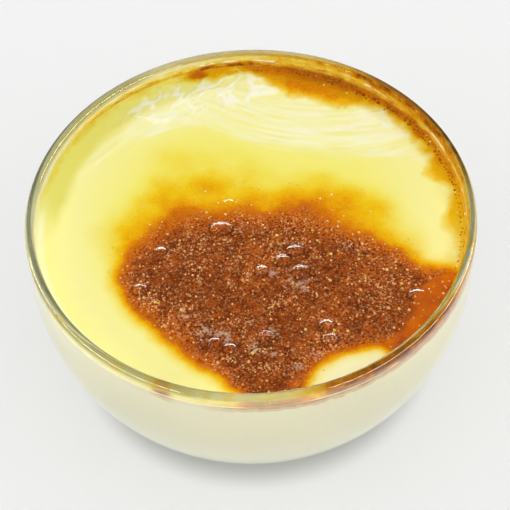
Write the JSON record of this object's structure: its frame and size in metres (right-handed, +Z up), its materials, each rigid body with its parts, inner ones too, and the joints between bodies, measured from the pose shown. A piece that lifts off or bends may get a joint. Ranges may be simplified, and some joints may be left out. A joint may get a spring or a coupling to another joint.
{
  "type": "baked rice pudding in a glass bowl",
  "caption": "Round clear glass bowl filled to just below its rim with baked rice pudding under a yellow skin with a browned, blistered area.",
  "frame": {"origin": "centre of the bowl's base, on the plane it stands on", "axes": "+Z up along the bowl's axis; the browned area of the skin lies towards -Y"},
  "size_m": [0.12, 0.12, 0.057],
  "materials": {
    "clear_glass": "clear, smooth, faintly green-grey glass",
    "pudding": "moist glossy pale yellow skin, browned to dark caramel on one side, cream inside"
  },
  "bodies": {
    "root": {"glass_bowl": "clear_glass", "pudding": "pudding"}
  },
  "joints": []
}
